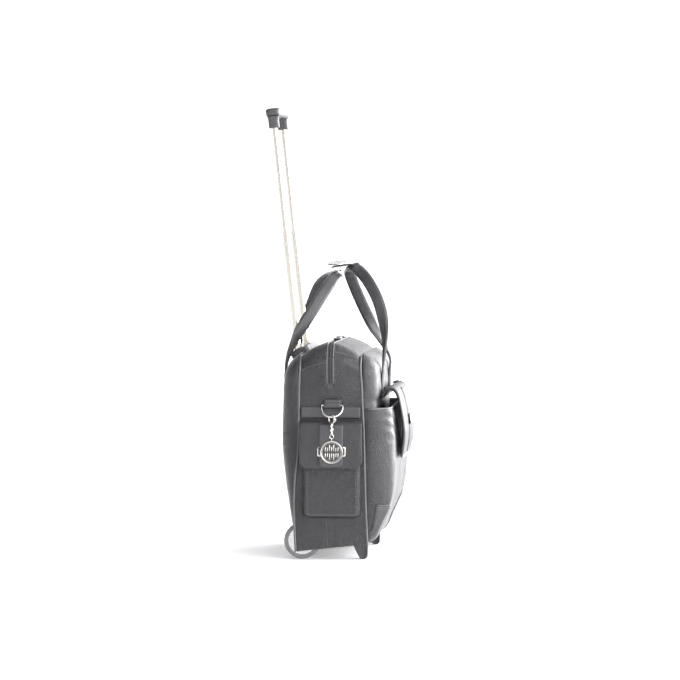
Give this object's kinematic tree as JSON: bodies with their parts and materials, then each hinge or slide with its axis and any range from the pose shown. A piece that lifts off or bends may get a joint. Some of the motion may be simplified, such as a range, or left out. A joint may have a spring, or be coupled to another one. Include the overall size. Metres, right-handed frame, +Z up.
{
  "type": "rolling laptop case",
  "caption": "Soft leather laptop case with a front flap pocket, end pockets and carry handles, on a wheeled base with a telescoping pull handle.",
  "frame": {"origin": "centre of the bounding box's footprint, on the floor the case stands on", "axes": "+Z up; -Y is the front, with the flap pocket; +Y is the rear, with the pull handle and wheels; X runs along the case's width"},
  "size_m": [0.471, 0.2612, 0.8206],
  "materials": {
    "leather": "pebbled grain, semi-gloss",
    "edge_leather": "smooth painted edge and piping",
    "lining": "woven nylon over foam",
    "zip_tape": "knitted zip tape with nylon coil",
    "plastic": "fine moulded texture",
    "wheel_disc": "satin silver paint",
    "tyre": "smooth grey polyurethane",
    "tube": "brushed champagne anodised",
    "steel": "zinc plated",
    "nickel": "polished gunmetal nickel"
  },
  "bodies": {
    "case": {"base_board": "plastic", "bottom_panel": "leather", "wheel_housings": "plastic", "wheel_axles": "steel", "trolley_brackets": "plastic", "outer_tubes": "tube", "trolley_bezel": "plastic", "chassis_screws": "steel", "front_feet": "plastic", "rear_panel": "leather", "front_panel": "leather", "front_pocket": "leather", "corner_patches": "leather", "end_gussets": "leather", "top_strips": "leather", "zipper": "zip_tape", "piping": "edge_leather", "rear_luggage_band": "leather", "back_board": "lining", "laptop_sleeve": "lining", "pocket_magnet": "nickel", "side_pockets": "leather", "gusset_bands": "leather", "handle_anchors": "leather", "front_flap_root": "leather"},
    "wheel_left": {"wheel_tyre_left": "tyre", "wheel_hub_left": "wheel_disc", "wheel_bearings_left": "steel"},
    "wheel_right": {"wheel_tyre_right": "tyre", "wheel_hub_right": "wheel_disc", "wheel_bearings_right": "steel"},
    "trolley_middle": {"middle_tubes": "tube", "middle_tube_collars": "plastic", "middle_tube_plugs": "plastic"},
    "trolley_inner": {"inner_tubes": "tube", "inner_tube_plugs": "plastic", "grip_body": "plastic", "grip_cover": "plastic"},
    "release": {"release_button": "plastic", "release_rods": "steel"},
    "front_flap": {"front_flap": "leather", "front_flap_hardware": "nickel"},
    "side_flap_left": {"side_flap_left": "leather", "side_clasp_left": "nickel"},
    "side_flap_right": {"side_flap_right": "leather", "side_clasp_right": "nickel"},
    "ring_left": {"d_ring_left": "nickel"},
    "ring_right": {"d_ring_right": "nickel"},
    "clip": {"clip_hook": "nickel"},
    "clip_lever": {"clip_lever": "nickel"},
    "charm": {"charm": "nickel"},
    "front_handle": {"front_handle": "leather"},
    "handle_tab": {"handle_tab": "leather", "handle_medallion": "nickel"},
    "rear_handle": {"rear_handle": "leather", "snap_stud": "nickel"},
    "zip_slider_left": {"zip_slider_left": "nickel"},
    "zip_pull_left": {"zip_pull_left": "nickel"},
    "zip_slider_right": {"zip_slider_right": "nickel"},
    "zip_pull_right": {"zip_pull_right": "nickel"}
  },
  "joints": [
    {"name": "wheel_left_spin", "type": "hinge", "parent": "case", "child": "wheel_left", "pos_m": [-0.15871, 0.05699, 0.033], "axis": [1, 0, 0], "continuous": true},
    {"name": "wheel_right_spin", "type": "hinge", "parent": "case", "child": "wheel_right", "pos_m": [0.17129, 0.05699, 0.033], "axis": [1, 0, 0], "continuous": true},
    {"name": "trolley_middle_slide", "type": "slide", "parent": "case", "child": "trolley_middle", "axis": [0, 0.1063, 0.9943], "range_m": [-0.198, 0]},
    {"name": "trolley_inner_slide", "type": "slide", "parent": "trolley_middle", "child": "trolley_inner", "axis": [0, 0.1063, 0.9943], "range_m": [-0.186, 0]},
    {"name": "release_button_press", "type": "slide", "parent": "trolley_inner", "child": "release", "axis": [0, -0.1063, -0.9943], "range_m": [0, 0.003], "stiffness_N_per_m": 600, "springref_m": -0.002},
    {"name": "front_flap_open", "type": "hinge", "parent": "case", "child": "front_flap", "pos_m": [0.00629, -0.09949, 0.309], "axis": [-1, 0, 0], "range_deg": [0, 95]},
    {"name": "side_flap_left_open", "type": "hinge", "parent": "case", "child": "side_flap_left", "pos_m": [-0.20501, 0.00351, 0.249], "axis": [0, 1, 0], "range_deg": [0, 90]},
    {"name": "side_flap_right_open", "type": "hinge", "parent": "case", "child": "side_flap_right", "pos_m": [0.21759, 0.00351, 0.249], "axis": [0, -1, 0], "range_deg": [0, 90]},
    {"name": "ring_left_swing", "type": "hinge", "parent": "case", "child": "ring_left", "pos_m": [-0.20931, -0.00099, 0.28], "axis": [0, 1, 0], "range_deg": [0, 90]},
    {"name": "ring_right_swing", "type": "hinge", "parent": "case", "child": "ring_right", "pos_m": [0.22189, -0.00099, 0.28], "axis": [0, -1, 0], "range_deg": [0, 90]},
    {"name": "clip_swing", "type": "hinge", "parent": "ring_left", "child": "clip", "pos_m": [-0.22501, -0.00099, 0.25991], "axis": [0, 1, 0], "range_deg": [0, 60]},
    {"name": "clip_lever_slide", "type": "slide", "parent": "clip", "child": "clip_lever", "axis": [0, 0, -1], "range_m": [0, 0.003], "stiffness_N_per_m": 120, "springref_m": -0.002},
    {"name": "charm_swing", "type": "hinge", "parent": "clip", "child": "charm", "pos_m": [-0.22501, -0.00099, 0.22121], "axis": [0, 1, 0], "range_deg": [0, 50]},
    {"name": "front_handle_swing", "type": "hinge", "parent": "case", "child": "front_handle", "pos_m": [0.00629, -0.08499, 0.345], "axis": [1, 0, 0], "range_deg": [0, 85]},
    {"name": "handle_tab_lift", "type": "hinge", "parent": "front_handle", "child": "handle_tab", "pos_m": [0.00629, -0.01499, 0.5314], "axis": [1, 0, 0], "range_deg": [0, 60]},
    {"name": "rear_handle_swing", "type": "hinge", "parent": "case", "child": "rear_handle", "pos_m": [0.00629, 0.09301, 0.341], "axis": [-1, 0, 0], "range_deg": [0, 6]},
    {"name": "zip_left_slide", "type": "slide", "parent": "case", "child": "zip_slider_left", "axis": [-1, 0, 0], "range_m": [0, 0.15]},
    {"name": "zip_pull_left_flip", "type": "hinge", "parent": "zip_slider_left", "child": "zip_pull_left", "pos_m": [-0.01171, 0.00351, 0.395], "axis": [0, 1, 0], "range_deg": [0, 100]},
    {"name": "zip_right_slide", "type": "slide", "parent": "case", "child": "zip_slider_right", "axis": [1, 0, 0], "range_m": [0, 0.15]},
    {"name": "zip_pull_right_flip", "type": "hinge", "parent": "zip_slider_right", "child": "zip_pull_right", "pos_m": [0.02429, 0.00351, 0.395], "axis": [0, -1, 0], "range_deg": [0, 100]}
  ],
  "couplings": [
    {"joint": "ring_left_swing", "follows": "side_flap_left_open", "ratio": 1},
    {"joint": "ring_right_swing", "follows": "side_flap_right_open", "ratio": 1},
    {"joint": "rear_handle_swing", "follows": "handle_tab_lift", "ratio": 0.1}
  ]
}
